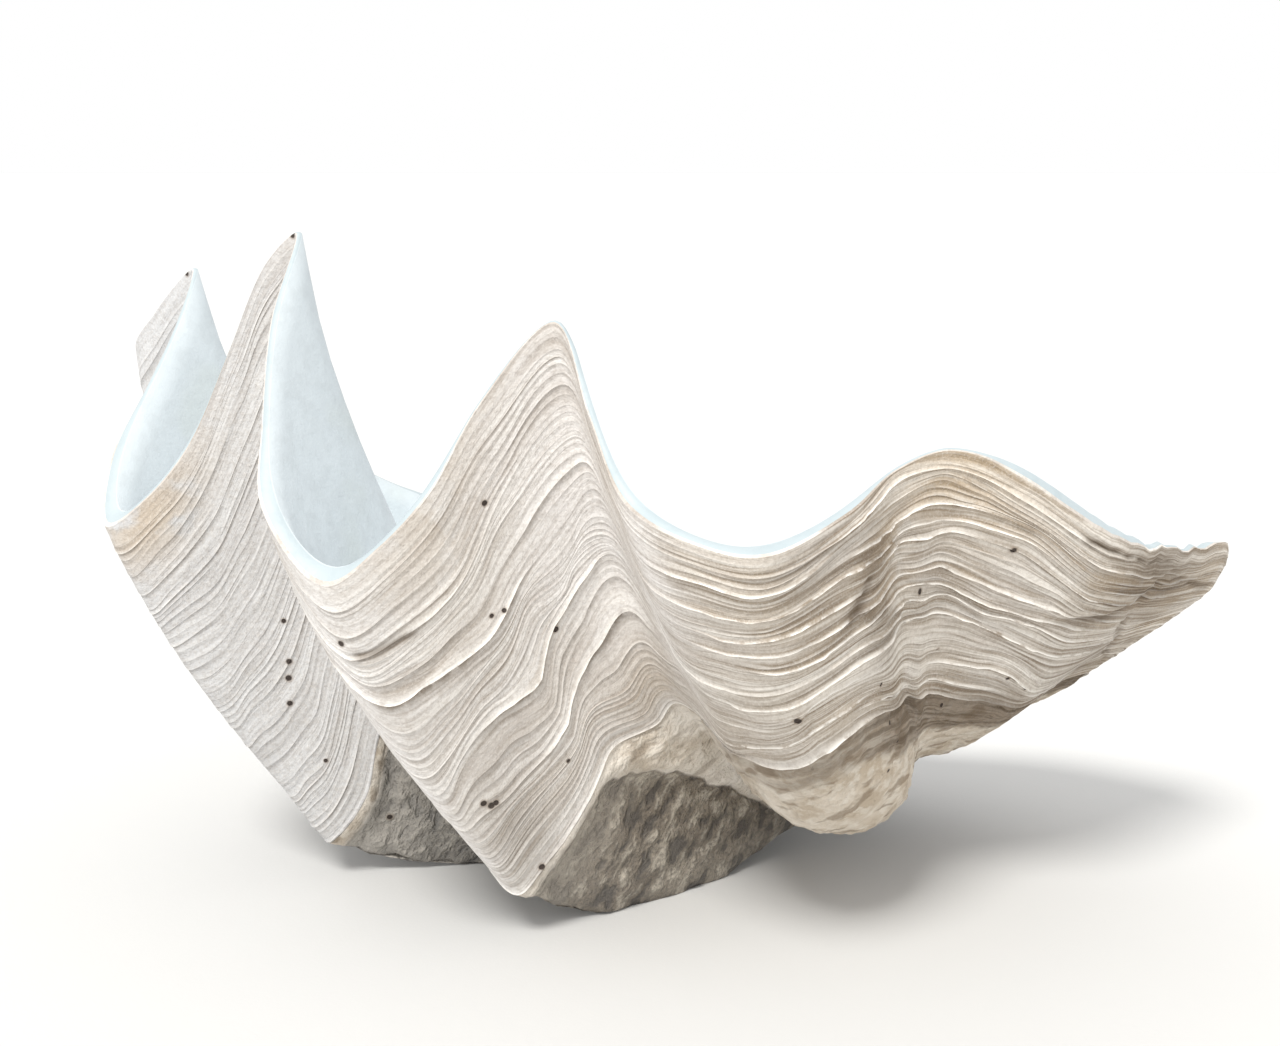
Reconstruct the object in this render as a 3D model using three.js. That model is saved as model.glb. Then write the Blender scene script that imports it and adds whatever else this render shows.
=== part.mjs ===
import {
  BufferGeometry,
  CatmullRomCurve3,
  Float32BufferAttribute,
  Group,
  MathUtils,
  Mesh,
  MeshStandardMaterial,
  Vector3,
} from 'three';

// One valve of a giant clam, lying on the outside of its bowl with the opening up.
// Millimetres, +Z up, the long side along X and the hinge at the back, towards +Y.
// The valve grew as one piece, so it is one closed solid.

// The rim, walked once round: out along the folds of the front, then back past the hinge.
// A fold line runs down the wall from the rim to a knee, where the wall turns under the bowl,
// and from there along the underside to the umbo, the oldest point of the shell.
// "rib" is 1 on the crest of a rib, 0 in the trough between two ribs.
// "bow" is how far the wall swells outwards, as a part of its height.
const FOLD_LINES = [
  { rim: [-428, 141, 389], knee: [-258, 128, -40], bow: 0.05, rib: 1 },
  { rim: [-400, 95, 428] },
  { rim: [-358, 53, 465], knee: [-230, 60, 125], bow: 0.025, rib: 0 },
  { rim: [-365, 22, 426] },
  { rim: [-379, -13, 385] },
  { rim: [-399, -48, 336] },
  { rim: [-397, -80, 291], knee: [-226, -14, -26], bow: 0.03, rib: 1 },
  { rim: [-364, -86, 313] },
  { rim: [-335, -79, 348] },
  { rim: [-304, -79, 413] },
  { rim: [-274, -84, 477] },
  { rim: [-249, -96, 500], knee: [-158, -66, 122], bow: 0.02, rib: 0 },
  { rim: [-260, -136, 445] },
  { rim: [-261, -176, 380] },
  { rim: [-256, -211, 331] },
  { rim: [-211, -246, 288], knee: [-70, -113, -26], bow: 0.04, rib: 1 },
  { rim: [-176, -246, 312] },
  { rim: [-145, -235, 345] },
  { rim: [-113, -224, 400] },
  { rim: [-66, -220, 451], knee: [3, -122, 160], bow: 0.02, rib: 0 },
  { rim: [-44, -246, 397] },
  { rim: [-21, -277, 347] },
  { rim: [22, -308, 328], knee: [92, -151, 83] },
  { rim: [60, -325, 325], knee: [134, -157, 81], bow: 0.05, rib: 1 },
  { rim: [113, -290, 343], knee: [174, -139, 102] },
  { rim: [150, -237, 361] },
  { rim: [189, -211, 369], knee: [192, -112, 146], bow: 0.03, rib: 0 },
  { rim: [242, -202, 354] },
  { rim: [299, -176, 310], knee: [278, -92, 168], bow: 0.05, rib: 1 },
  { rim: [366, -114, 284], knee: [350, -56, 203], bow: 0.04, rib: 0 },
  { rim: [425, -44, 272], knee: [421, -18, 222], bow: 0.05, rib: 1 },
  { rim: [405, 25, 235], knee: [385, 45, 175] },
  { rim: [320, 110, 195], knee: [290, 125, 105] },
  { rim: [190, 172, 150], knee: [188, 165, 62], bow: 0.08, rib: 0.5 },
  { rim: [0, 250, 185], knee: [8, 234, 60] },
  { rim: [-130, 285, 225], knee: [-120, 262, 40], bow: 0.08, rib: 0.5 },
  { rim: [-234, 282, 251], knee: [-205, 240, 46] },
  { rim: [-340, 225, 320], knee: [-262, 192, 50], bow: 0.04, rib: 0.3 },
];
const UMBO = new Vector3(200, 95, 72);

// Wall thickness: thin at the young rim, most of all on the peaks between two ribs, and heavy in
// the old floor and at the hinge.
const PEAK_RIM_THICKNESS = 4.5;
const RIB_RIM_THICKNESS = 10;
const FLOOR_THICKNESS = 34;
const UMBO_THICKNESS = 42;
const HINGE_THICKNESS = 30;
const HINGE_LINES = [32, 36];
const THICKENING_AGES = [0.05, 0.75];
// Where the wall is lower than this, the floor is thinner and the relief shallower in proportion.
const FULL_WALL_HEIGHT = 180;
const LEAST_HEFT = 0.35;

// The wall bows out most a third of the way down, where part × (1 - part)² reaches 4/27.
const BOW_SCALE = 27 / 4;
// The knee is a rounded corner: the parts of the wall and of the underside that its bend takes.
const KNEE_WALL_PART = 0.22;
const KNEE_FLOOR_PART = 0.42;
// Over this part of the way on each side of the knee the thickness turns from level to upright.
const KNEE_REACH = 0.15;
// The underside stays low and then curls up to the umbo with this power.
const UMBO_CURL = 2.5;

// Growth: each sheet of shell flares out away from the rim and ends in a lip that overhangs the
// older sheet below it, more on the ribs than in the troughs.
const SHEETS_ON_WALL = 7;
const SHEETS_BELOW_STEP = 3;
const LIP_HEIGHT = 3;
const RIB_LIP_HEIGHT = 1.5;
// The lips stand this part of their height proud of the plain shape, so that they don't widen it.
const LIP_MIDDLE = 0.6;
const LIP_FADE_IN_AGE = 0.08;
const LIP_FADE_OUT_AGES = [0.75, 0.9];
// One old growth pause, a ledge that the younger shell overhangs all along the front.
// Each pair is a place along the rim in fold lines and the ledge's part of the way to the umbo.
const GROWTH_STEP = [
  [0, 0.4], [6, 0.38], [8.4, 0.395], [11, 0.42], [15.4, 0.42], [17.5, 0.445], [18.5, 0.51], [19.4, 0.51],
  [20.8, 0.41], [22, 0.36], [23.6, 0.32], [24.6, 0.365], [25.7, 0.43], [26.9, 0.472], [28.2, 0.487],
  [31, 0.48], [35, 0.45],
];
const STEP_DEPTH = 7;
// Age 0.5 is the growth pause; the recess under its ledge starts just below and fades out.
const STEP_AGE = 0.5;
const RECESS_AGE = 0.53;
const RECESS_FADE = 0.2;
const OLD_LIPS_END_AGE = 0.84;
// How far below a lip the drop to the next sheet ends, on the wall and on the old shell.
const WALL_DROP_AGE = 0.012;
const OLD_DROP_AGE = 0.03;

// The lowest ribs are worn off flat at this height, where they stand on the ground.
const GROUND_HEIGHT = -3.4;

// The right end of the rim is broken into small notches.
const FRAYED_LINES = [28.6, 31.2];
const NOTCH_DEPTH = 6;
// Two waves round the rim, in radians a fold line, that together look irregular.
const NOTCH_WAVE = 7.3;
const SMALL_NOTCH_WAVE = 16.1;
const SMALL_NOTCH_PART = 0.6;

// Mesh density
const COLUMNS_PER_LINE = 3;
const WALL_STEPS = 30;
const BEND_STEPS = 16;
const FLOOR_STEPS = 20;
const LAST_OUTER_AGE = 0.92;
const LAST_INNER_AGE = 0.9;
const INNER_ROWS = 9;
const SLOPE_REACH = 0.03;
const GROOVE_SMOOTHING = 4;
const KNEE_SMOOTHING = 3;
const LEAST_MITRE = 0.45;

const lineCount = FOLD_LINES.length;
const columnCount = lineCount * COLUMNS_PER_LINE;

// A closed curve through the given end of the fold lines, asked for in fold lines round the rim.
function curveRound(key) {
  const lines = FOLD_LINES.map((line, index) => ({ ...line, index })).filter((line) => line[key]);
  const places = lines.map((line) => line.index);
  const points = lines.map((line) => new Vector3(...line[key]));
  const curve = new CatmullRomCurve3(points, true, 'centripetal');
  return (place) => curve.getPoint(between(place, places) / places.length);
}

// Where a place round the rim lies in a list of places, as a fractional position in that list.
function between(place, places) {
  const wrapped = place < places[0] ? place + lineCount : place;
  const ends = [...places, places[0] + lineCount];
  const next = ends.findIndex((end, index) => index > 0 && wrapped <= end);
  return next - 1 + (wrapped - ends[next - 1]) / (ends[next] - ends[next - 1]);
}

// A value that eases from one listed place round the rim to the next.
function eased(place, places, values) {
  const position = between(place, places);
  const first = Math.floor(position);
  const share = MathUtils.smoothstep(position - first, 0, 1);
  return MathUtils.lerp(values[first % values.length], values[(first + 1) % values.length], share);
}

const rimAt = curveRound('rim');
const kneeAt = curveRound('knee');
const shapedLines = FOLD_LINES.map((line, index) => ({ ...line, index })).filter((line) => line.bow);
const shapedPlaces = shapedLines.map((line) => line.index);
const bowAt = (place) => eased(place, shapedPlaces, shapedLines.map((line) => line.bow));
const ribAt = (place) => eased(place, shapedPlaces, shapedLines.map((line) => line.rib));
const stepAt = (place) => {
  return eased(place, GROWTH_STEP.map((pair) => pair[0]), GROWTH_STEP.map((pair) => pair[1]));
};

// How far a place round the rim lies inside a stretch of it, fading out over one fold line.
function inStretch(place, [start, end]) {
  return MathUtils.smoothstep(place, start - 1, start) * (1 - MathUtils.smoothstep(place, end, end + 1));
}

// The part of the way from rim to umbo where the knee lies.
function kneePartAt(place) {
  const wall = rimAt(place).distanceTo(kneeAt(place));
  return wall / (wall + kneeAt(place).distanceTo(UMBO));
}

// How heavily built the shell is at a place round the rim, 1 where the wall is high.
function heftAt(place) {
  return MathUtils.clamp(rimAt(place).distanceTo(kneeAt(place)) / FULL_WALL_HEIGHT, LEAST_HEFT, 1);
}

// The rim with the small notches of its broken end.
function frayedRim(place) {
  const rim = rimAt(place);
  const small = SMALL_NOTCH_PART * Math.sin(place * SMALL_NOTCH_WAVE);
  const notch = Math.abs(Math.sin(place * NOTCH_WAVE) + small);
  rim.z -= NOTCH_DEPTH * notch * inStretch(place, FRAYED_LINES);
  return rim;
}

// The outside of the shell down one line: wall, rounded knee, underside, as a dense polyline.
function profile(place) {
  const rim = frayedRim(place);
  const knee = kneeAt(place);
  const radial = new Vector3(rim.x - UMBO.x, rim.y - UMBO.y, 0).normalize();
  const height = rim.distanceTo(knee);
  const down = knee.clone().sub(rim).normalize();
  const out = radial.clone().addScaledVector(down, -radial.dot(down)).normalize();
  const swell = height * bowAt(place) * BOW_SCALE;
  const wall = (part) => {
    return rim.clone().lerp(knee, part).addScaledVector(out, swell * part * (1 - part) ** 2);
  };
  const underside = (part) => {
    const point = knee.clone().lerp(UMBO, part);
    point.z = knee.z * (1 - part) + UMBO.z * part ** UMBO_CURL;
    return point;
  };
  const bendStart = wall(1 - KNEE_WALL_PART);
  const bendEnd = underside(KNEE_FLOOR_PART);
  const bend = (part) => {
    const first = bendStart.clone().lerp(knee, part);
    return first.lerp(knee.clone().lerp(bendEnd, part), part);
  };
  const points = [];
  for (let i = 0; i < WALL_STEPS; i += 1) points.push(wall((i / WALL_STEPS) * (1 - KNEE_WALL_PART)));
  for (let i = 0; i < BEND_STEPS; i += 1) points.push(bend(i / BEND_STEPS));
  for (let i = 0; i <= FLOOR_STEPS; i += 1) {
    points.push(underside(MathUtils.lerp(KNEE_FLOOR_PART, 1, i / FLOOR_STEPS)));
  }
  return points;
}

// A point of a polyline at a part of its length.
function alongPolyline(points, part) {
  const lengths = [0];
  for (let i = 1; i < points.length; i += 1) {
    lengths.push(lengths[i - 1] + points[i].distanceTo(points[i - 1]));
  }
  const target = part * lengths[lengths.length - 1];
  const next = Math.max(1, lengths.findIndex((length) => length >= target - 1e-9));
  const share = (target - lengths[next - 1]) / (lengths[next] - lengths[next - 1]);
  return points[next - 1].clone().lerp(points[next], share);
}

// Age runs from 0 at the rim to 1 at the umbo and is 0.5 all along the old growth pause.
function partAtAge(place, age) {
  const step = stepAt(place);
  if (age < STEP_AGE) return step * (age / STEP_AGE);
  return MathUtils.lerp(step, 1, (age - STEP_AGE) / (1 - STEP_AGE));
}

// The ages of the rows of points: each lip has a row on its edge and one at the foot of its drop.
function outerAges() {
  const ages = [0];
  for (let i = 1; i < SHEETS_ON_WALL; i += 1) {
    const lip = (STEP_AGE * i) / SHEETS_ON_WALL;
    ages.push(lip, lip + WALL_DROP_AGE);
  }
  ages.push(STEP_AGE, RECESS_AGE);
  for (let i = 1; i <= SHEETS_BELOW_STEP; i += 1) {
    const lip = MathUtils.lerp(RECESS_AGE, OLD_LIPS_END_AGE, i / SHEETS_BELOW_STEP);
    ages.push(lip, lip + OLD_DROP_AGE);
  }
  ages.push(LAST_OUTER_AGE);
  return ages;
}

// How proud the surface stands of the plain shape: sheets flaring to their lips, and the ledge.
function relief(place, age) {
  const fadeIn = MathUtils.smoothstep(age, 0, LIP_FADE_IN_AGE);
  const fade = fadeIn * (1 - MathUtils.smoothstep(age, ...LIP_FADE_OUT_AGES));
  const sheet = ((age - 1e-6) * SHEETS_ON_WALL) / STEP_AGE % 1;
  const lip = (LIP_HEIGHT + RIB_LIP_HEIGHT * ribAt(place)) * (sheet + LIP_MIDDLE - 1) * fade;
  const below = 1 - MathUtils.smoothstep(age, RECESS_AGE, RECESS_AGE + RECESS_FADE);
  const recess = age > STEP_AGE ? STEP_DEPTH * below : 0;
  return (lip - recess) * heftAt(place);
}

// A grid of plain points, rows of growing age by columns round the rim, with outward normals.
function plainGrid(ages) {
  const places = Array.from({ length: columnCount }, (_, column) => column / COLUMNS_PER_LINE);
  const profiles = places.map(profile);
  const at = (column, age) => {
    return alongPolyline(profiles[column], partAtAge(places[column], age));
  };
  return ages.map((age) => places.map((place, column) => {
    const before = at((column + columnCount - 1) % columnCount, age);
    const after = at((column + 1) % columnCount, age);
    const older = at(column, Math.min(age + SLOPE_REACH, 1));
    const younger = at(column, Math.max(age - SLOPE_REACH, 0));
    const normal = after.sub(before).cross(older.sub(younger)).normalize().negate();
    return { place, age, point: at(column, age), normal };
  }));
}

// How thick the shell is at a place and age.
function thickness(place, age) {
  const rim = MathUtils.lerp(PEAK_RIM_THICKNESS, RIB_RIM_THICKNESS, ribAt(place));
  const young = MathUtils.lerp(rim, HINGE_THICKNESS, inStretch(place, HINGE_LINES));
  const old = MathUtils.lerp(FLOOR_THICKNESS * heftAt(place), UMBO_THICKNESS, age ** 4);
  return MathUtils.lerp(young, old, MathUtils.smoothstep(age, ...THICKENING_AGES));
}

// The outside: relief along the normals, and worn flat where it stands on the ground.
function outerGrid() {
  return plainGrid(outerAges()).map((row) => row.map(({ place, age, point, normal }) => {
    point.addScaledVector(normal, relief(place, age));
    point.z = Math.max(point.z, GROUND_HEIGHT);
    return point;
  }));
}

// The inside: offset from the plain shape, then evened out in the grooves behind the ribs,
// which nacre fills, while the ridges behind the troughs stay crisp.
function innerGrid() {
  const ages = Array.from({ length: INNER_ROWS }, (_, row) => (LAST_INNER_AGE * row) / (INNER_ROWS - 1));
  const floorDown = new Vector3(0, 0, -1);
  const rings = plainGrid(ages).map((row, index) => {
    const normals = averagedRing(averagedRing(row.map((spot) => spot.normal)));
    let ring = row.map(({ place, age, point }, column) => {
      const fromKnee = partAtAge(place, age) - kneePartAt(place);
      const under = MathUtils.smoothstep(fromKnee, -KNEE_REACH, KNEE_REACH);
      const outward = normals[column].lerp(floorDown, under);
      const mitre = 1 / Math.max(outward.lengthSq(), LEAST_MITRE);
      return point.addScaledVector(outward, -mitre * thickness(place, age));
    });
    for (let pass = 0; pass < GROOVE_SMOOTHING * Math.min(index + 1, 3); pass += 1) {
      const even = averagedRing(ring);
      ring = ring.map((point, column) => point.clone().lerp(even[column], grooveAt(column)));
    }
    return ring;
  });
  const lines = rings[0].map((_, column) => rings.map((ring) => ring[column]));
  const evenLines = lines.map((line, column) => {
    let even = line;
    for (let pass = 0; pass < KNEE_SMOOTHING; pass += 1) {
      const middles = averagedRing(even);
      even = even.map((point, row) => {
        const end = row === 0 || row === line.length - 1;
        return end ? point : point.clone().lerp(middles[row], grooveAt(column));
      });
    }
    return even;
  });
  return rings.map((ring, row) => ring.map((_, column) => evenLines[column][row]));
}

// How far a column of points lies in the groove behind a rib.
function grooveAt(column) {
  return Math.sqrt(ribAt(column / COLUMNS_PER_LINE));
}

// Each vector of a ring replaced by the mean of itself and its two neighbours.
function averagedRing(ring) {
  return ring.map((vector, column) => {
    const before = ring[(column + ring.length - 1) % ring.length];
    const after = ring[(column + 1) % ring.length];
    return vector.clone().multiplyScalar(2).add(before).add(after).divideScalar(4);
  });
}

// One closed surface: outside rows from the umbo up to the rim, over it, inside rows down again.
function shellGeometry() {
  const outerUmbo = UMBO.clone();
  const innerUmbo = UMBO.clone().add(new Vector3(0, 0, UMBO_THICKNESS));
  const rows = [...outerGrid().reverse(), ...innerGrid()];
  const points = [outerUmbo, ...rows.flat(), innerUmbo];
  const last = points.length - 1;
  const at = (row, column) => 1 + row * columnCount + (column % columnCount);
  const triangles = [];
  for (let column = 0; column < columnCount; column += 1) {
    triangles.push(0, at(0, column + 1), at(0, column));
    triangles.push(last, at(rows.length - 1, column), at(rows.length - 1, column + 1));
    for (let row = 0; row + 1 < rows.length; row += 1) {
      triangles.push(at(row, column), at(row, column + 1), at(row + 1, column + 1));
      triangles.push(at(row, column), at(row + 1, column + 1), at(row + 1, column));
    }
  }
  const geometry = new BufferGeometry();
  const positions = points.flatMap((point) => point.toArray());
  geometry.setAttribute('position', new Float32BufferAttribute(positions, 3));
  geometry.setIndex(triangles);
  geometry.computeVertexNormals();
  return geometry;
}

// The origin is under the middle of the shell, on the ground that it stands on.
function centred(geometry) {
  geometry.computeBoundingBox();
  const middle = geometry.boundingBox.getCenter(new Vector3());
  geometry.translate(-middle.x, -middle.y, -geometry.boundingBox.min.z);
  return geometry;
}

const shell = new MeshStandardMaterial({ name: 'shell', color: 0xd8cfc2, roughness: 0.75 });
const valve = new Mesh(centred(shellGeometry()), shell);
valve.name = 'clam_valve';

const model = new Group();
model.name = 'giant_clam_shell';
model.add(valve);

export default model;
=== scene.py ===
# %% [markdown]
# # A giant clam valve
# This lesson dresses one valve of a giant clam, lying on the outside of its bowl. The animal built
# it in one piece, sheet by sheet, so everything here is one closed mesh: a shape that is swept from
# the rim to the umbo, the oldest point of the shell, with the growth sheets raised on its outside.
# The shape could also be sculpted, but a sculpture can't say which spot is how old. A swept shape
# knows the age of each point, and age is what places a shell's ridges, bands and colours.

import math

import bpy
import numpy as np
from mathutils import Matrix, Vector


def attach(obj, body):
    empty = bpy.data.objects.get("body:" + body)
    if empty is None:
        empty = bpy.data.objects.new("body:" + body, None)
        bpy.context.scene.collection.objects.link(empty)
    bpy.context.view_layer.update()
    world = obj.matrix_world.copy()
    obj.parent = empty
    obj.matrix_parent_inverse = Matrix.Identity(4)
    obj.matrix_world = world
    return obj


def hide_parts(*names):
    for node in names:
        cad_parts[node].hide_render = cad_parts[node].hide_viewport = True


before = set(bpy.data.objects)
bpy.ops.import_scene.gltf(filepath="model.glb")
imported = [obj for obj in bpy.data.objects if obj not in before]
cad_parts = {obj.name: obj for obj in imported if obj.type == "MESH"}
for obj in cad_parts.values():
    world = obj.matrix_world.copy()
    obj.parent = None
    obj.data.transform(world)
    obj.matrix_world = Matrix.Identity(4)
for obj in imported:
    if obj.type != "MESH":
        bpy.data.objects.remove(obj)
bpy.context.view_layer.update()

# %% [markdown]
# ## The camera
# The photograph looks at the front of the shell, slightly from above. The eye stands 1.33 m in
# front of the middle and the lens is a normal one, which gives the ribs that touch the ground the
# right distance from each other. The camera comes first, so that every later step can be judged
# from the same place.

# %% Camera
MM = 0.001
EYE = Vector((-11, -1330, 566.4)) * MM
LOOK_DOWN = math.radians(12)
LENS_MM = 50.6
SENSOR_MM = 36

camera_data = bpy.data.cameras.new("eye")
camera_data.lens = LENS_MM
camera_data.sensor_width = SENSOR_MM
camera_data.sensor_fit = "HORIZONTAL"
camera = bpy.data.objects.new("eye", camera_data)
camera.location = EYE
camera.rotation_euler = (math.pi / 2 - LOOK_DOWN, 0, 0)
bpy.context.collection.objects.link(camera)
bpy.context.scene.camera = camera
print("camera at", tuple(round(value, 3) for value in camera.location))

# %% [markdown]
# ## The fold lines
# A giant clam's rim is folded like a curtain. Every fold line starts at a rim point, runs down the
# wall to a knee, where the wall turns under the bowl, and ends at the umbo. Only the rim needs many
# points, because its swing is what the eye knows the shell by. A knee is given where a rib or a
# trough has its crest, together with how far the wall swells (bow) and how much it is a rib.

# %% Fold lines in millimetres: rim, knee, bow, rib
FOLD_LINES = [
    ((-428, 141, 389), (-258, 128, -40), 0.05, 1),
    ((-400, 95, 428), None, None, None),
    ((-358, 53, 465), (-230, 60, 125), 0.025, 0),
    ((-365, 22, 426), None, None, None),
    ((-379, -13, 385), None, None, None),
    ((-399, -48, 336), None, None, None),
    ((-397, -80, 291), (-226, -14, -26), 0.03, 1),
    ((-364, -86, 313), None, None, None),
    ((-335, -79, 348), None, None, None),
    ((-304, -79, 413), None, None, None),
    ((-274, -84, 477), None, None, None),
    ((-249, -96, 500), (-158, -66, 122), 0.02, 0),
    ((-260, -136, 445), None, None, None),
    ((-261, -176, 380), None, None, None),
    ((-256, -211, 331), None, None, None),
    ((-211, -246, 288), (-70, -113, -26), 0.04, 1),
    ((-176, -246, 312), None, None, None),
    ((-145, -235, 345), None, None, None),
    ((-113, -224, 400), None, None, None),
    ((-66, -220, 451), (3, -122, 160), 0.02, 0),
    ((-44, -246, 397), None, None, None),
    ((-21, -277, 347), None, None, None),
    ((22, -308, 328), (92, -151, 83), None, None),
    ((60, -325, 325), (134, -157, 81), 0.05, 1),
    ((113, -290, 343), (174, -139, 102), None, None),
    ((150, -237, 361), None, None, None),
    ((189, -211, 369), (192, -112, 146), 0.03, 0),
    ((242, -202, 354), None, None, None),
    ((299, -176, 310), (278, -92, 168), 0.05, 1),
    ((366, -114, 284), (350, -56, 203), 0.04, 0),
    ((425, -44, 272), (421, -18, 222), 0.05, 1),
    ((405, 25, 235), (385, 45, 175), None, None),
    ((320, 110, 195), (290, 125, 105), None, None),
    ((190, 172, 150), (188, 165, 62), 0.08, 0.5),
    ((0, 250, 185), (8, 234, 60), None, None),
    ((-130, 285, 225), (-120, 262, 40), 0.08, 0.5),
    ((-234, 282, 251), (-205, 240, 46), None, None),
    ((-340, 225, 320), (-262, 192, 50), 0.04, 0.3),
]
UMBO = np.array([200.0, 95.0, 72.0])
GROUND_MIDDLE = np.array([-1.1, -17.3, -3.4])
LINE_COUNT = len(FOLD_LINES)
print(LINE_COUNT, "fold lines round the rim")

# %% [markdown]
# ## Smooth curves through a few points
# A cubic curve goes through its points without loops, even where they stand close together, if its
# knots are as far apart as the root of the distance between the points. The rim and the knees are
# each one closed curve. A place is counted in fold lines round the rim, so 2.5 is half way from
# line 2 to line 3.

# %% Closed curves
def closed_curve(points, position):
    """Points of a closed smooth curve through the list, at fractional positions in it."""
    points = np.asarray(points, float)
    count = len(points)
    first = np.floor(position).astype(int)
    share = (position - first)[:, None]
    p0, p1, p2, p3 = (points[(first + step) % count] for step in (-1, 0, 1, 2))

    def knot(a, b):
        return np.sqrt(np.linalg.norm(a - b, axis=1))[:, None]

    d0, d1, d2 = knot(p0, p1), knot(p1, p2), knot(p2, p3)
    slope1 = ((p1 - p0) / d0 - (p2 - p0) / (d0 + d1) + (p2 - p1) / d1) * d1
    slope2 = ((p2 - p1) / d1 - (p3 - p1) / (d1 + d2) + (p3 - p2) / d2) * d1
    square = -3 * p1 + 3 * p2 - 2 * slope1 - slope2
    cube = 2 * p1 - 2 * p2 + slope1 + slope2
    return p1 + slope1 * share + square * share**2 + cube * share**3


def position_among(place, places):
    """Where places round the rim lie in a shorter list of places."""
    ends = np.append(places, places[0] + LINE_COUNT)
    wrapped = np.where(place < places[0], place + LINE_COUNT, place)
    return np.interp(wrapped, ends, np.arange(len(ends)))


def smoothstep(value, low, high):
    """0 below low, 1 above high and an even ease between them."""
    share = np.clip((value - low) / (high - low), 0, 1)
    return share * share * (3 - 2 * share)


def eased(place, pairs):
    """Values listed with their places round the rim, eased from one to the next."""
    at, values = (np.array(column, float) for column in zip(*pairs))
    position = position_among(place, at)
    first = np.floor(position).astype(int)
    share = smoothstep(position - first, 0, 1)
    return values[first % len(values)] * (1 - share) + values[(first + 1) % len(values)] * share


def in_stretch(place, stretch):
    """1 inside a stretch of the rim, easing to 0 over one fold line outside it."""
    start, end = stretch
    return smoothstep(place, start - 1, start) * (1 - smoothstep(place, end, end + 1))


KNEES, BOWS, RIBS = ([(place, line[index]) for place, line in enumerate(FOLD_LINES)
                      if line[index] is not None] for index in (1, 2, 3))
print(len(KNEES), "knees,", len(BOWS), "crests of ribs and troughs")

# %% [markdown]
# ## From rim to umbo
# The side view of a fold line is a wall, a rounded corner and a long underside that curls up at the
# umbo. Age runs along it from 0 at the rim to 1 at the umbo. Half way, at age 0.5, lies the line
# where the animal once paused: younger shell above it, rough old shell below.

# %% Profiles
BOW_SCALE = 27 / 4
KNEE_WALL_PART = 0.22
KNEE_FLOOR_PART = 0.42
UMBO_CURL = 2.5
PAUSE_AGE = 0.5
WALL_SAMPLES = 30
KNEE_SAMPLES = 16
FLOOR_SAMPLES = 21
GROWTH_STEP = [
    (0, 0.4), (6, 0.38), (8.4, 0.395), (11, 0.42), (15.4, 0.42), (17.5, 0.445), (18.5, 0.51),
    (19.4, 0.51), (20.8, 0.41), (22, 0.36), (23.6, 0.32), (24.6, 0.365), (25.7, 0.43), (26.9, 0.472),
    (28.2, 0.487), (31, 0.48), (35, 0.45),
]


def rim_at(place):
    return closed_curve([line[0] for line in FOLD_LINES], place)


def knee_at(place):
    return closed_curve([knee for _, knee in KNEES], position_among(place, [at for at, _ in KNEES]))


def unit(vectors):
    return vectors / (np.linalg.norm(vectors, axis=-1, keepdims=True) + 1e-12)


def profiles(place):
    """Dense polylines from the rim to the umbo, one for each place."""
    rim, knee = rim_at(place), knee_at(place)
    down = unit(knee - rim)
    height = np.linalg.norm(knee - rim, axis=1, keepdims=True)
    radial = unit((rim - UMBO) * (1, 1, 0))
    out = unit(radial - (radial * down).sum(1, keepdims=True) * down)
    swell = height * eased(place, BOWS)[:, None] * BOW_SCALE

    def wall(part):
        return rim + (knee - rim) * part + out * swell * part * (1 - part) ** 2

    def underside(part):
        point = knee + (UMBO - knee) * part
        point[:, 2] = knee[:, 2] * (1 - part) + UMBO[2] * part**UMBO_CURL
        return point

    start, end = wall(1 - KNEE_WALL_PART), underside(KNEE_FLOOR_PART)
    rows = [wall(part) for part in np.linspace(0, 1 - KNEE_WALL_PART, WALL_SAMPLES, endpoint=False)]
    for part in np.linspace(0, 1, KNEE_SAMPLES, endpoint=False):
        first = start + (knee - start) * part
        rows.append(first + (knee + (end - knee) * part - first) * part)
    rows += [underside(part) for part in np.linspace(KNEE_FLOOR_PART, 1, FLOOR_SAMPLES)]
    return np.stack(rows, 1)


def part_at_age(place, age):
    """The part of the way from rim to umbo at an age, for a grid of places by ages."""
    step = eased(place, GROWTH_STEP)[:, None]
    older = step + (1 - step) * (age - PAUSE_AGE) / (1 - PAUSE_AGE)
    return np.where(age < PAUSE_AGE, step * age / PAUSE_AGE, older)


def plain_surface(place, age):
    """Points of the shell without relief, for a grid of places by ages."""
    age = np.broadcast_to(age, (len(place), np.shape(age)[-1]))
    lines = profiles(place)
    steps = np.linalg.norm(np.diff(lines, axis=1), axis=2)
    lengths = np.concatenate([np.zeros((len(lines), 1)), np.cumsum(steps, 1)], 1)
    target = part_at_age(place, age) * lengths[:, -1:]
    points = np.empty(target.shape + (3,))
    for i in range(len(lines)):
        for axis in range(3):
            points[i, :, axis] = np.interp(target[i], lengths[i], lines[i, :, axis])
    return points


def outward(grid):
    """The outward direction at each point of a grid of places by ages that goes round the rim."""
    across = np.roll(grid, -1, 0) - np.roll(grid, 1, 0)
    return -unit(np.cross(across, np.gradient(grid, axis=1)))


# %% [markdown]
# ## Noise
# Nothing on a shell is quite regular. Value noise, a cube of random numbers with smooth steps
# between them, bends and fades the growth sheets. It is made from a fixed seed, so that each run
# gives the same shell, and it is asked for by position, so that it has no seam.

# %% Noise
LATTICE_SIZE = 48
LAYER_SHIFT = 5.3
SEED = 7
random = np.random.default_rng(SEED)
lattice = random.random((LATTICE_SIZE,) * 3)


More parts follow.
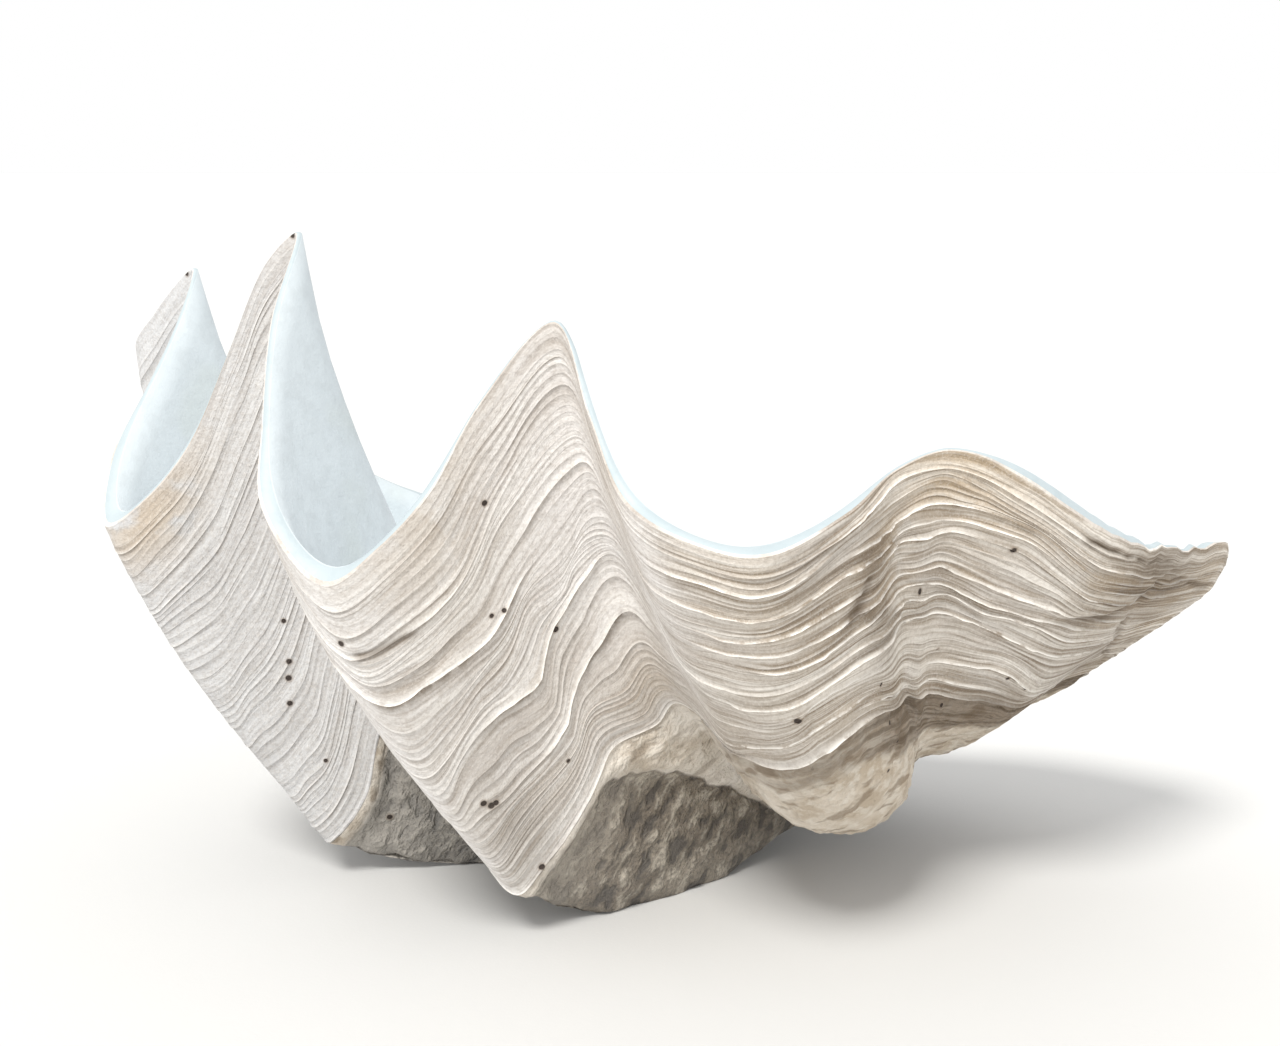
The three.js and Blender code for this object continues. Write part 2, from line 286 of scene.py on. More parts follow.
def noise(points, size_mm, shift=0.0):
    """Smooth noise from -1 to 1 that changes over about size_mm."""
    scaled = points / size_mm + shift
    cell = np.floor(scaled).astype(int)
    share = scaled - cell
    share = share * share * (3 - 2 * share)
    total = 0.0
    for corner in np.ndindex(2, 2, 2):
        index = (cell + np.array(corner)) % LATTICE_SIZE
        weight = np.prod(np.where(np.array(corner) == 1, share, 1 - share), axis=-1)
        total = total + weight * lattice[index[..., 0], index[..., 1], index[..., 2]]
    return total * 2 - 1


def rough_noise(points, size_mm, layers=3, shift=0.0):
    """Noise with finer layers on top, each half as large and half as strong."""
    return sum(noise(points, size_mm / 2**k, shift + LAYER_SHIFT * k) / 2**k for k in range(layers))


print("noise lattice of", lattice.size, "numbers")

# %% [markdown]
# ## Reading the shell off the picture
# Some lips, creases and pits stand out in the photograph. Each is picked as a few picture points. The
# camera is known, so the plain shell can be projected as the camera sees it, and the nearest visible
# point of the shell under a picked picture point gives its place and its age.

# %% Picture points to places and ages
IMAGE_WIDTH = 1280
IMAGE_HEIGHT = 1046
FRONT_LINES = 31
PICK_REACH = 3
PICK_SLACK = 0.1
PICK_DEPTH_MM = 25
SIGHTS_PER_LINE = 16
SIGHT_AGES = 301

sight_places = np.arange(0, FRONT_LINES + 1, 1 / SIGHTS_PER_LINE)
sight_ages = np.linspace(0, 1, SIGHT_AGES)
sight = plain_surface(sight_places, sight_ages)
sight_out = outward(sight)
sight_line = sight - GROUND_MIDDLE - np.array(EYE) / MM
upward = np.array([0, math.sin(LOOK_DOWN), math.cos(LOOK_DOWN)])
forward = np.array([0, math.cos(LOOK_DOWN), -math.sin(LOOK_DOWN)])
sight_depth = sight_line @ forward
pixels_per_slope = LENS_MM / SENSOR_MM * IMAGE_WIDTH
sight_x = IMAGE_WIDTH / 2 + pixels_per_slope * sight_line[..., 0] / sight_depth
sight_y = IMAGE_HEIGHT / 2 - pixels_per_slope * (sight_line @ upward) / sight_depth
seen = (sight_out * sight_line).sum(-1) < 0


def picked(x, y):
    """Place and age of the foremost visible point of the plain shell at a picture point."""
    off = np.where(seen, np.hypot(sight_x - x, sight_y - y), np.inf)
    close = off < max(PICK_REACH, off.min() + PICK_SLACK)
    foremost = close & (sight_depth < sight_depth[close].min() + PICK_DEPTH_MM)
    i, j = np.unravel_index(np.where(foremost, off, np.inf).argmin(), off.shape)
    return sight_places[i], sight_ages[j]


print("the third rib's crest at the pause line:", picked(760, 762))

# %% [markdown]
# ## Rows that follow the growth sheets
# The wall is made of about fifty thin sheets, 3 mm apart, and every third one is a broad sheet with
# a stronger lip. Each sheet flares out away from the rim, ends in a lip and drops to the older sheet
# below. A regular grid would chop such a lip into steps wherever it runs across the rows, so the
# rows themselves wander with the sheets: one at the foot of the drop, one half way, one on the lip.

# %% Growth rows
COLUMNS_PER_FRONT_LINE = 12
COLUMNS_PER_BACK_LINE = 5
BACK_END_LINE = 36
THIN_SHEETS = 51
THIN_PER_BROAD = 3
ROWS_IN_SHEET = (0.05, 0.6, 1.0)
WANDER_SHEETS, WANDER_MM = 2.0, 130
SMALL_WANDER_SHEETS, SMALL_WANDER_MM = 0.9, 38
SHEETS_PER_DRIFT = 12
CALM_AT_RIM, CALM_AT_PAUSE = 5, 6
THINNEST_SHEET, SHEET_VARIETY = 0.55, 0.9
SHEET_SPREAD_MM = 35

front_places = np.arange(FRONT_LINES * COLUMNS_PER_FRONT_LINE) / COLUMNS_PER_FRONT_LINE
back_places = np.arange((BACK_END_LINE - FRONT_LINES) * COLUMNS_PER_BACK_LINE) / COLUMNS_PER_BACK_LINE
left_places = np.arange((LINE_COUNT - BACK_END_LINE) * COLUMNS_PER_FRONT_LINE) / COLUMNS_PER_FRONT_LINE
places = np.concatenate([front_places, FRONT_LINES + back_places, BACK_END_LINE + left_places])
COLUMNS = len(places)
sheet_rows = [sheet + part for sheet in range(THIN_SHEETS) for part in ROWS_IN_SHEET]
wall_rows = np.array([0.0] + sheet_rows[1:])
sheet = np.maximum(np.ceil(wall_rows) - 1, 0)
in_sheet = wall_rows - sheet
broad = np.floor(sheet / THIN_PER_BROAD)
in_broad = (wall_rows - broad * THIN_PER_BROAD) / THIN_PER_BROAD

sheet_widths = THINNEST_SHEET + SHEET_VARIETY * random.random(THIN_SHEETS)
sheet_edges = np.append(0, np.cumsum(sheet_widths)) / sheet_widths.sum() * PAUSE_AGE
sheet_numbers = np.arange(THIN_SHEETS + 1)


def along_sheets(number, size_mm, shift=0.0):
    """Noise along the rim that differs from sheet to sheet, columns by rows."""
    around = rim_at(places)[:, None] + np.asarray(number)[None, :, None] * SHEET_SPREAD_MM
    return noise(around, size_mm, shift)


calm = smoothstep(wall_rows, 0, CALM_AT_RIM)
calm = calm * (1 - smoothstep(wall_rows, THIN_SHEETS - CALM_AT_PAUSE, THIN_SHEETS))
drift = wall_rows / SHEETS_PER_DRIFT
wander = WANDER_SHEETS * along_sheets(drift, WANDER_MM)
wander = wander + SMALL_WANDER_SHEETS * along_sheets(drift, SMALL_WANDER_MM, 4)
sheet_count = wall_rows + wander * calm
print(COLUMNS, "columns,", len(wall_rows), "rows on the wall")

# %% [markdown]
# The strongest lips of the photograph are traced with a few picture points each. The nearest broad
# lip is bent onto the traced line, the sheets round it follow more and more weakly, and the lip
# gets the height that it has there.

# %% Lips traced in the picture: height factor, picture points
TRACED_LIPS = [
    (1.5, [(345, 672), (358, 690), (375, 703), (395, 703), (420, 690), (440, 678), (458, 662), (475, 653),
           (490, 638), (502, 620), (510, 603)]),
    (0.9, [(345, 655), (360, 658), (380, 652), (400, 640), (425, 620), (448, 600)]),
    (1.4, [(500, 700), (520, 690), (535, 678), (545, 665), (549, 650), (552, 630), (560, 615), (572, 600),
           (576, 580), (585, 560)]),
    (1.3, [(560, 745), (570, 720), (577, 690), (580, 668), (588, 655), (600, 640), (610, 625), (625, 612),
           (640, 617)]),
    (1.2, [(840, 672), (860, 658), (880, 642), (890, 628), (900, 620), (920, 613), (945, 612), (965, 616),
           (985, 625), (1005, 638), (1030, 648), (1060, 652)]),
    (1.0, [(850, 640), (870, 620), (885, 600), (900, 585), (920, 580), (940, 583), (960, 590), (980, 600),
           (1000, 610), (1030, 618), (1060, 622)]),
    (0.5, [(905, 475), (925, 470), (945, 468), (965, 468), (985, 478), (1005, 490), (1030, 505), (1050, 520),
           (1075, 535), (1100, 548)]),
    (1.1, [(720, 700), (740, 707), (770, 709), (790, 705), (810, 695), (830, 682)]),
    (1.2, [(720, 738), (740, 748), (770, 744), (800, 740), (815, 730), (822, 715), (835, 700)]),
]
MOST_SHIFT = 4.0
FADE_LINES = 0.6
LEAD_LINES = 1.8
LEAST_SPREAD, SPREAD_PER_SHIFT = 2.5, 0.8
KEPT_SPACING = 0.01
ROUNDING_PASSES = 20


def averaged(ring):
    """Each value or point of a closed ring moved to the mean of itself and its two neighbours."""
    return (2 * ring + np.roll(ring, 1, 0) + np.roll(ring, -1, 0)) / 4


traced = []
for lip_factor, pixels in TRACED_LIPS:
    lip_places, lip_ages = np.array(sorted(picked(*pixel) for pixel in pixels)).T
    wanted = np.interp(np.interp(places, lip_places, lip_ages), sheet_edges, sheet_numbers)
    for _ in range(ROUNDING_PASSES):
        wanted = averaged(wanted)
    start, end = lip_places[[0, -1]]
    near = smoothstep(places, start - FADE_LINES, start) * (1 - smoothstep(places, end, end + FADE_LINES))
    lip_number = THIN_PER_BROAD * round((wanted * near).sum() / near.sum() / THIN_PER_BROAD)
    row = np.flatnonzero(wall_rows == lip_number)[0]
    leading = smoothstep(places, start - LEAD_LINES, start)
    leading = leading * (1 - smoothstep(places, end, end + LEAD_LINES))
    shift = np.clip(wanted - sheet_count[:, row], -MOST_SHIFT, MOST_SHIFT) * leading
    spread = LEAST_SPREAD + SPREAD_PER_SHIFT * np.abs(shift)
    fall = np.exp(-((wall_rows - lip_number) / spread[:, None]) ** 2)
    sheet_count = sheet_count + shift[:, None] * fall
    traced.append((lip_number, near, lip_factor))
    print("lip", lip_number, "from place", start, "to", end, "moved", np.abs(shift).max().round(1))
sheet_count = np.maximum.accumulate(np.clip(sheet_count, 0, THIN_SHEETS), axis=1)
sheet_count = sheet_count + KEPT_SPACING * (wall_rows - sheet_count)
wall_ages = np.interp(sheet_count, sheet_numbers, sheet_edges)

# %% [markdown]
# Below the pause line lies older shell. On the right it is a band of rough cream shell, and on the
# first two ribs only a narrow border of it. The edge between them was read off the picture too.
# Where the band ends, the old shell lies deeper, and the band overhangs it.

# %% Rows of the old shell
BAND_ENDS = [(0, 0.88), (20, 0.88), (21.5, 0.82), (23, 0.78), (28, 0.78), (31, 0.6), (35, 0.52)]
FIRST_RIBS_BAND_END = 0.506
OLD_EDGE = [(0.5, 17.2), (0.53, 17.44), (0.555, 17.62), (0.58, 17.75), (0.61, 17.81), (0.645, 17.81),
            (0.685, 17.75), (0.728, 17.56), (0.765, 17.25), (0.81, 16.69), (0.88, 16), (1, 15)]
EDGE_WIDTH = 0.06
OLDEST_AGE = 0.97
OLD_ROWS = 44
OLD_ROW_SPREAD = 1.35
PAUSE_WIDTH = 0.003
OLD_START, OLD_FULL = -0.005, 0.02
SOFTENING_PASSES = 3

old_rows = np.linspace(1 / OLD_ROWS, 1, OLD_ROWS) ** OLD_ROW_SPREAD
old_ages = np.broadcast_to(PAUSE_AGE + (OLDEST_AGE - PAUSE_AGE) * old_rows, (COLUMNS, OLD_ROWS))
age = np.concatenate([wall_ages, old_ages], 1)
plain = plain_surface(places, age)
plain_out = outward(plain)
wall_count = len(wall_rows)

edge_place = np.interp(age, *zip(*OLD_EDGE)) + EDGE_WIDTH * rough_noise(plain, 18, 2, 8.0)
first_ribs = 1 - smoothstep(places[:, None] - edge_place, -EDGE_WIDTH, EDGE_WIDTH)
right_end = eased(places, BAND_ENDS)[:, None]
band_end = right_end + (FIRST_RIBS_BAND_END - right_end) * first_ribs
below_pause = smoothstep(age, PAUSE_AGE, PAUSE_AGE + PAUSE_WIDTH)
old_mask = smoothstep(age - band_end, OLD_START, OLD_FULL)
for _ in range(SOFTENING_PASSES):
    old_mask = averaged(old_mask)
band_mask = below_pause * (1 - old_mask)
print("outside:", plain.shape[1], "rows")

# %% [markdown]
# ## Creases
# At the narrow right end the sheets crowd together in a few dark creases, and the last fold of the
# rim is tucked under them. These creases are traced in the picture too. They run across the sheets,
# so each is pressed into the surface by its distance from the traced line, and painted shade is laid
# into it by the same distance.

# %% Creases traced in the picture: depth and width in millimetres, picture points
TRACED_CREASES = [
    (6.0, 5.0, [(1050, 620), (1075, 622), (1100, 620), (1125, 611), (1145, 598), (1160, 582), (1178, 568),
                (1192, 558)]),
    (5.0, 4.0, [(1098, 666), (1105, 650), (1120, 628), (1140, 603), (1150, 592)]),
    (4.5, 3.5, [(1170, 574), (1185, 580), (1200, 588), (1212, 586)]),
    (3.0, 2.5, [(1080, 537), (1100, 546), (1120, 552), (1160, 560), (1195, 560)]),
    (2.0, 3.0, [(350, 656), (365, 657), (385, 649), (400, 641), (420, 628)]),
    (2.5, 6.0, [(846, 628), (856, 612), (868, 592), (878, 568)]),
]
TAPER = 6
STEPS_PER_POINT = 8
crease_relief = np.zeros_like(age)
# This mask is painted shade: the nearness to each traced crease, which darkens its colour.
crease_shade_mask = np.zeros_like(age)
for depth, width, pixels in TRACED_CREASES:
    spots = np.array([picked(*pixel) for pixel in pixels])
    steps = np.linspace(0, len(spots) - 1, STEPS_PER_POINT * len(spots))
    line_places, line_ages = (np.interp(steps, np.arange(len(spots)), spots[:, k]) for k in (0, 1))
    line = np.diagonal(plain_surface(line_places, line_ages), axis1=0, axis2=1).T
    taper = np.minimum(1, TAPER * np.minimum(steps, steps[::-1]) / steps[-1])
    near = np.max([share * np.exp(-((np.linalg.norm(plain - point, axis=-1) / width) ** 2))
                   for share, point in zip(taper, line)], axis=0)
    crease_relief -= depth * near
    crease_shade_mask = np.maximum(crease_shade_mask, near)
print("creases down to", crease_relief.min().round(1), "mm")

# %% [markdown]
# ## Relief
# The lips stand up to 3 mm proud. They are crisp on the third and fourth rib, low and wavy on the
# left ones, and each fades in and out along its way, as on the real shell. The old shell is lumpy
# instead. The outermost chips and notches are at the right end, where the rim has flaked.

# %% Relief of the wall in millimetres
BROAD_LIP_MM = 2.7
THIN_LIP_MM = 0.7
PAUSE_LIP_MM = 2.0
RAGGED, RAGGED_MM = 0.6, 9
BROAD_FADE_MM, THIN_FADE_MM = 75, 60
TRACED_CRISPNESS = 0.7
FULL_WALL_MM = 180
LEAST_HEFT = 0.35
CRISPNESS = [(0, 0.25), (6, 0.25), (9, 0.12), (11, 0.15), (15, 0.25), (17.5, 0.2), (19.5, 0.2), (21, 0.4),
             (22, 0.85), (24, 1.1), (29, 1), (31, 0.6), (35, 0.5)]

wall_mm = np.linalg.norm(rim_at(places) - knee_at(places), axis=1)
heft = np.clip(wall_mm / FULL_WALL_MM, LEAST_HEFT, 1)[:, None]
crisp = eased(places, CRISPNESS)[:, None] * np.ones(wall_count)
broad_strength = 0.1 + 1.2 * smoothstep(along_sheets(broad * 2.7, BROAD_FADE_MM, 2), -0.35, 0.6)
thin_strength = 1.1 * smoothstep(along_sheets(sheet * 1.9, THIN_FADE_MM, 6), -0.4, 0.5)
for lip_number, near, lip_factor in traced:
    its_rows = broad == lip_number / THIN_PER_BROAD - 1
    near = near[:, None] * its_rows
    broad_strength = broad_strength * (1 - near) + lip_factor * near
    crisp = crisp * (1 - near) + np.maximum(crisp, TRACED_CRISPNESS) * near
from_rim = smoothstep(wall_rows, 0, 2)
lips = BROAD_LIP_MM * crisp * broad_strength * (in_broad**3 - 0.25)
lips = lips * (1 + RAGGED * noise(plain[:, :wall_count], RAGGED_MM, 5.0))
lips = lips + THIN_LIP_MM * (0.3 + 0.7 * crisp) * thin_strength * (in_sheet**1.5 - 0.4)
wall_relief = lips * from_rim
wall_relief[:, -1] += PAUSE_LIP_MM * crisp[:, -1]

# %% Relief of the old shell in millimetres
SWELL_MM = 2.0
BAND_CROWN_MM = 2.5
UNDERCUT_MM = 3.0
STEP_DEPTH_MM = 8
STEP_FADE_AGE = 0.25
BIG_LUMP_MM, BIG_LUMP_SIZE_MM = 2.3, 17
SMALL_LUMP_MM, SMALL_LUMP_SIZE_MM = 1.5, 6.5
BAND_LUMPS = 0.8
FLAT_AGES = (0.8, 0.95)
UNDERCUT_AGES = (0.01, 0.035)
UNDERCUT_LINES = (24.5, 30)
CROWN_AGE = 0.03

big_lumps = BIG_LUMP_MM * rough_noise(plain, BIG_LUMP_SIZE_MM, 3, 2.0)
lumps = big_lumps + SMALL_LUMP_MM * rough_noise(plain, SMALL_LUMP_SIZE_MM, 2, 7.0)
flat_at_umbo = 1 - smoothstep(age, *FLAT_AGES)
into_band = np.clip(age - PAUSE_AGE, 0, band_end - PAUSE_AGE)
undercut = UNDERCUT_MM * band_mask * (1 - smoothstep(into_band, *UNDERCUT_AGES))
undercut = undercut * in_stretch(places, UNDERCUT_LINES)[:, None]
crown = BAND_CROWN_MM * band_mask * smoothstep(age, PAUSE_AGE, PAUSE_AGE + CROWN_AGE)
recess = STEP_DEPTH_MM * old_mask * (1 - smoothstep(age - band_end, 0.0, STEP_FADE_AGE))
relief = np.concatenate([wall_relief, np.zeros((COLUMNS, OLD_ROWS))], 1)
relief = relief + crease_relief + crown - undercut - recess
relief = relief + lumps * flat_at_umbo * (old_mask + BAND_LUMPS * band_mask)
swell = SWELL_MM * noise(plain, 90, 11.0) * smoothstep(age, 0.02, 0.2) * flat_at_umbo
relief = relief + swell
print("relief from", relief.min().round(1), "to", relief.max().round(1), "mm")

# %% Outer points
FRAYED_LINES = (28.6, 31.2)
NOTCH_DEPTH = 3
GROUND = 0.0


def notches(place):
    """How far the frayed end of the rim is broken down, in millimetres."""
    waves = np.abs(np.sin(place * 7.3) + 0.6 * np.sin(place * 16.1))
    chips = 0.35 * np.abs(noise(rim_at(place), 9, 3.0))
    return NOTCH_DEPTH * (waves + chips) * in_stretch(place, FRAYED_LINES)


outer = plain + plain_out * (relief * heft)[..., None] - GROUND_MIDDLE
outer[..., 2] -= notches(places)[:, None] * (1 - smoothstep(age, 0, 0.12))
outer[..., 2] = np.maximum(outer[..., 2], GROUND)
print("lowest point", outer[..., 2].min(), "mm, highest", outer[..., 2].max().round(1), "mm")

# %% [markdown]
# ## The inside
# The inside is a smooth porcelain-like lining. It is offset from the plain outside by the wall's
# thickness, 4 to 8 mm at the rim and more than 30 mm under the bowl, on a coarse grid, and the
# grooves behind the ribs are evened out, because the animal fills them. Curves through that coarse
# grid then give the fine one, so that no small ridge of the outside shows through.

# %% Inner grid
PEAK_RIM_MM = 3.8
RIB_RIM_MM = 7.5
FLOOR_MM = 34
UMBO_MM = 42
HINGE_MM = 30
HINGE_LINES = (32, 36)
KNEE_REACH = 0.15
COARSE_PER_LINE = 3
INNER_ROWS = 9
GROOVE_SMOOTHING = 4
KNEE_SMOOTHING = 3
LEAST_MITRE = 0.45


coarse_places = np.arange(LINE_COUNT * COARSE_PER_LINE) / COARSE_PER_LINE
coarse_ages = np.linspace(0, 0.9, INNER_ROWS)
coarse = plain_surface(coarse_places, coarse_ages)
older_side = plain_surface(coarse_places, np.minimum(coarse_ages + 0.03, 1))
younger_side = plain_surface(coarse_places, np.maximum(coarse_ages - 0.03, 0))
across = np.roll(coarse, -1, 0) - np.roll(coarse, 1, 0)
coarse_out = averaged(averaged(-unit(np.cross(across, older_side - younger_side))))

coarse_rim, coarse_knee = rim_at(coarse_places), knee_at(coarse_places)
coarse_wall = np.linalg.norm(coarse_rim - coarse_knee, axis=1)[:, None]
knee_part = coarse_wall / (coarse_wall + np.linalg.norm(coarse_knee - UMBO, axis=1)[:, None])
turn = smoothstep(part_at_age(coarse_places, coarse_ages) - knee_part, -KNEE_REACH, KNEE_REACH)
down = np.array([0, 0, -1.0])
coarse_out = coarse_out * (1 - turn[..., None]) + down * turn[..., None]
mitre = 1 / np.maximum((coarse_out**2).sum(2, keepdims=True), LEAST_MITRE)
coarse_heft = np.clip(coarse_wall / FULL_WALL_MM, LEAST_HEFT, 1)
rib = eased(coarse_places, RIBS)[:, None]
young = PEAK_RIM_MM + (RIB_RIM_MM - PEAK_RIM_MM) * rib
young = young + (HINGE_MM - young) * in_stretch(coarse_places, HINGE_LINES)[:, None]
old = FLOOR_MM * coarse_heft + (UMBO_MM - FLOOR_MM * coarse_heft) * coarse_ages**4
thickness = young + (old - young) * smoothstep(coarse_ages, 0.05, 0.75)
inner = coarse - coarse_out * mitre * thickness[..., None]

groove = np.sqrt(rib)
for row in range(INNER_ROWS):
    for _ in range(GROOVE_SMOOTHING * min(row + 1, 3)):
        ring = inner[:, row]
        inner[:, row] = ring + (averaged(ring) - ring) * groove
for _ in range(KNEE_SMOOTHING):
    middles = (2 * inner[:, 1:-1] + inner[:, :-2] + inner[:, 2:]) / 4
    inner[:, 1:-1] += (middles - inner[:, 1:-1]) * groove[:, None]
print("inside: coarse grid of", inner.shape[0], "by", inner.shape[1])

# %% Fine inside
INNER_FINE_ROWS = 22


def even_curve(points, position, closed):
    """A smooth curve through rows of points that are evenly apart, at fractional positions."""
    first = np.floor(position).astype(int)
    share = (position - first)[:, None, None]
    index = [first + step for step in (-1, 0, 1, 2)]
    wrap = (lambda i: i % len(points)) if closed else (lambda i: np.clip(i, 0, len(points) - 1))
    a, b, c, d = (points[wrap(i)] for i in index)
    return 0.5 * (2 * b + (c - a) * share + (2 * a - 5 * b + 4 * c - d) * share**2
                  + (3 * b - a - 3 * c + d) * share**3)


inner_umbo = UMBO + (0, 0, UMBO_MM)
wide = even_curve(inner, places * COARSE_PER_LINE, closed=True)
toward_umbo = np.concatenate([wide, np.broadcast_to(inner_umbo, wide[:, :1].shape)], 1)
position = np.linspace(0, INNER_ROWS - 0.25, INNER_FINE_ROWS)
fine_inner = even_curve(toward_umbo.swapaxes(0, 1), position, closed=False).swapaxes(0, 1) - GROUND_MIDDLE
fine_inner[..., 2] -= notches(places)[:, None] * (1 - smoothstep(position, 0, 1.2))
print("inside: fine grid of", fine_inner.shape[0], "by", fine_inner.shape[1])

# %% [markdown]
# ## One closed mesh
# The outside runs up to the rim, a few rows carry it over the blunt edge, and the inside runs down
# again. Both ends close in a fan at the umbo. The edges on the lips stay sharp, because the smooth
# shading of the rest would round them off.

# %% Mesh
RIM_ACROSS = np.array([0.03, 0.2, 0.4, 0.6, 0.8, 0.95])
RIM_CROWN_MM = 1.2

outer_edge, inner_edge = outer[:, 0], fine_inner[:, 0]
edge_up = unit(outer[:, 0] - outer[:, 6])
crown = edge_up * RIM_CROWN_MM
rim_rows = [outer_edge + (inner_edge - outer_edge) * share + crown * math.sin(math.pi * share)
            for share in RIM_ACROSS]
grid = np.concatenate([outer[:, ::-1], np.stack(rim_rows, 1), fine_inner], 1).swapaxes(0, 1)
grid[..., 2] = np.maximum(grid[..., 2], GROUND)
umbo_points = np.array([UMBO - GROUND_MIDDLE, inner_umbo - GROUND_MIDDLE])
vertices = np.concatenate([umbo_points, grid.reshape(-1, 3)]) * MM

row_count = len(grid)
rows, columns = np.meshgrid(np.arange(row_count - 1), np.arange(COLUMNS), indexing="ij")
corners = [(rows, columns), (rows, columns + 1), (rows + 1, columns + 1), (rows + 1, columns)]
quads = np.stack([2 + r * COLUMNS + c % COLUMNS for r, c in corners], -1).reshape(-1, 4)
ring = np.arange(COLUMNS)
bottom_fan = np.stack([np.zeros_like(ring), 2 + (ring + 1) % COLUMNS, 2 + ring], 1)
last_ring = 2 + (row_count - 1) * COLUMNS
top_fan = np.stack([np.ones_like(ring), last_ring + ring, last_ring + (ring + 1) % COLUMNS], 1)
faces = quads.tolist() + bottom_fan.tolist() + top_fan.tolist()

mesh = bpy.data.meshes.new("clam_valve_surface")
mesh.from_pydata(vertices.tolist(), [], faces)
mesh.shade_smooth()
valve = bpy.data.objects.new("clam_valve_surface", mesh)
bpy.context.collection.objects.link(valve)
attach(valve, "root")
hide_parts("clam_valve")
print(len(vertices), "points,", len(faces), "faces")

# %% Sharp lips
outer_rows = plain.shape[1]
lip_rows = [0] + [row for row in range(len(wall_rows)) if wall_rows[row] >= 1 and in_sheet[row] == 1]
sharp_rows = outer_rows - 1 - np.array(lip_rows)
edge_points = np.empty(len(mesh.edges) * 2, int)
mesh.edges.foreach_get("vertices", edge_points)
edge_rows = (edge_points.reshape(-1, 2) - 2) // COLUMNS
sharp = (edge_rows[:, 0] == edge_rows[:, 1]) & np.isin(edge_rows[:, 0], sharp_rows)
mesh.attributes.new("sharp_edge", "BOOLEAN", "EDGE").data.foreach_set("value", sharp)
print(int(sharp.sum()), "sharp edges on", len(sharp_rows), "rows")

# %% [markdown]
# ## Values on the points
# The material can't know how old a spot is, so the mesh tells it. Every point carries the growth
# count, the painted highlight on each lip and the painted shade under it, and soft masks for colours
# that belong to a region: grey on the left ribs, warm brown on the right ones, tan stains at the rim,
# pale shell with painted light along two crests and on the band, painted shade under the pause line
# and in the creases, the cream band and the dark old shell.
# region: grey on the left ribs, warm brown on the right ones, tan stains at the rim, pale streaks
# along two crests, the cream band and the dark old shell.

# %% Values that follow the sheets
RIM_ROWS = len(RIM_ACROSS)


def store(name, outside, rim=0.0, inside=0.0):
    """A value on every point, from an outside grid of columns by rows and rim and inside values."""
    outside = np.broadcast_to(outside, age.shape).T[::-1]
    rim = np.repeat(np.broadcast_to(rim, RIM_ROWS), COLUMNS)
    parts = [[outside[0].mean(), inside], outside.ravel(), rim]
    parts.append(np.full(INNER_FINE_ROWS * COLUMNS, inside))
    layer = mesh.attributes.new(name, "FLOAT", "POINT")
    layer.data.foreach_set("value", np.concatenate(parts).astype(np.float32))


def on_wall(values):
    """A whole outside grid from the wall's values, 0 on the old shell."""
    values = np.broadcast_to(values, (COLUMNS, wall_count))
    return np.concatenate([values, np.zeros((COLUMNS, OLD_ROWS))], 1)


# The lip value is a painted highlight along the edge of each lip, where the light catches it, and the shade
# value is painted shade at the foot of the drop below it. The pause line's lip on the second rib gets a
# painted highlight of its own.
PAUSE_LIP_HIGHLIGHT = 0.9
is_broad = (sheet % THIN_PER_BROAD) == THIN_PER_BROAD - 1
lip_highlight_share = np.where(in_sheet == 1, 1.0, np.where(in_sheet == 0.6, 0.12, 0.0))
lip_height = np.where(is_broad, broad_strength, 0.4 * thin_strength) * (0.15 + 0.85 * crisp)
lip = lip_height * lip_highlight_share * from_rim
lip[:, -1] = np.maximum(lip[:, -1], PAUSE_LIP_HIGHLIGHT * in_stretch(places, (13, 20)))
lip_below = np.roll(lip_height, 2, axis=1)
foot_share = np.where(in_sheet < 0.1, 1.0, np.where(in_sheet < 0.7, 0.3, 0.0))
shade = lip_below * foot_share * smoothstep(wall_rows, 1, 3)
tone = along_sheets(broad * 3.1, 160, 9) * 0.6 + along_sheets(sheet * 2.3, 90, 14) * 0.5
old_growth = THIN_SHEETS + (age[:, wall_count:] - 0.5) * 2 * THIN_SHEETS
growth = np.concatenate([np.broadcast_to(wall_rows, (COLUMNS, wall_count)), old_growth], 1)

store("growth", growth)
store("lip", on_wall(lip))
store("shade", on_wall(shade))
store("tone", on_wall(tone))
print("lips up to", lip.max().round(2), "shades up to", shade.max().round(2))

# %% Values by region
GREY_BY_PLACE = [(0, 0.9), (6, 0.9), (9, 0.8), (11, 0.6), (13, 0.5), (15.5, 0.35), (18, 0.15),
                 (20, 0.1), (23, 0), (31, 0), (35, 0.5)]
WARM_BY_PLACE = [(0, 0), (10, 0.05), (15, 0.15), (19, 0.15), (22, 0.45), (23.5, 0.8), (24.5, 1), (25.5, 0.6),
                 (27, 0.7), (28.5, 1), (30.5, 1), (33, 0.4), (36, 0.1)]
STAINS = [
    (6.9, 0.02, 1.2, 0.05, 0.75), (16.8, 0.03, 1.0, 0.08, 0.25),
    (26.1, 0.04, 1.2, 0.07, 0.9), (29.4, 0.22, 0.8, 0.3, 0.6), (24.6, 0.12, 0.6, 0.12, 0.5),
    (28.6, 0.12, 0.8, 0.12, 0.9), (18.9, 0.45, 0.7, 0.05, 0.5),
]
# Patches of pale shell with painted light on the crests and on the band where the light falls on them.
PALE_AND_PAINTED_LIGHT = [(20.4, 0.27, 0.7, 0.2, 1.0), (14.7, 0.3, 0.35, 0.3, 0.9), (11.6, 0.1, 0.5, 0.2, 0.5),
        (18.9, 0.53, 0.8, 0.04, 0.7), (16.6, 0.51, 1.0, 0.02, 0.8), (18.8, 0.2, 1.2, 0.2, 0.9),
        (21.1, 0.08, 0.5, 0.14, 0.9), (18.1, 0.69, 0.5, 0.06, 1.0)]
